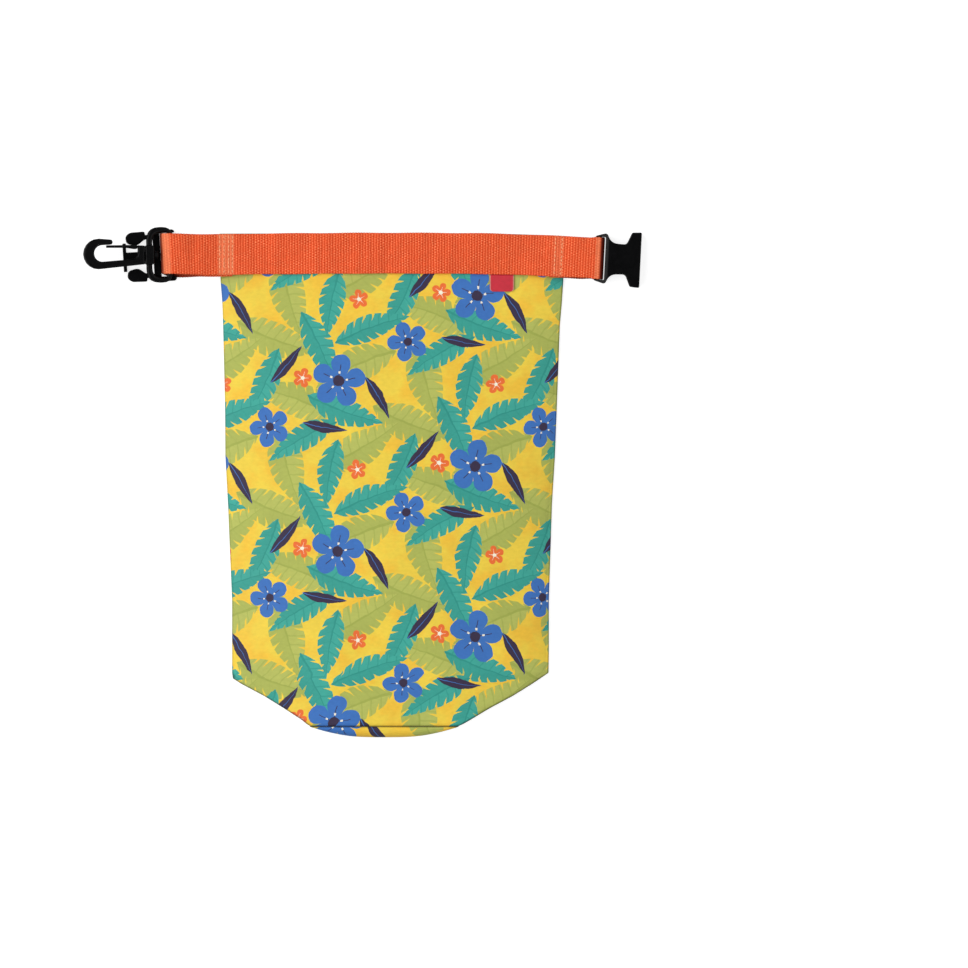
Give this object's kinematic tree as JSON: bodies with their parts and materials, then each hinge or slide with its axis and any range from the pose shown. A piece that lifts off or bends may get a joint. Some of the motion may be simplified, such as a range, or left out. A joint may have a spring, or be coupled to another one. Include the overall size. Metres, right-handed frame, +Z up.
{
  "type": "waterproof bag",
  "caption": "Small roll-top waterproof bag of printed coated cloth, lying flat with its mouth unrolled, a webbing closure strap, side-release buckle halves and a swivel snap hook.",
  "frame": {"origin": "middle of the lying object's box, on the surface that it lies on", "axes": "+X along the closure strap from the hook towards the female buckle, +Y from the base towards the mouth, +Z up out of the bag's front"},
  "size_m": [0.3406, 0.3114, 0.0189],
  "materials": {
    "printed_cloth": "coated cloth, yellow ground with an all-over print in teal, olive, blue, navy and orange",
    "webbing": "matt woven orange webbing",
    "red_label": "matt woven red tab",
    "black_plastic": "moulded black plastic, satin"
  },
  "bodies": {
    "bag": {"bag_body": "printed_cloth", "bag_base": "printed_cloth", "closure_strap": "webbing", "label_tab": "red_label", "female_buckle": "black_plastic", "male_buckle": "black_plastic", "hook_loop": "black_plastic"},
    "hook": {"snap_hook": "black_plastic"},
    "gate": {"hook_gate": "black_plastic"}
  },
  "joints": [
    {"name": "hook_swivel", "type": "hinge", "parent": "bag", "child": "hook", "pos_m": [-0.13004, 0.13863, 0.00941], "axis": [-0.9847, -0.012, 0.1736], "continuous": true},
    {"name": "gate_press", "type": "hinge", "parent": "hook", "child": "gate", "pos_m": [-0.13856, 0.14342, 0.01091], "axis": [0.1736, 0, 0.9848], "range_deg": [0, 20], "stiffness_Nm_per_rad": 0.06}
  ]
}
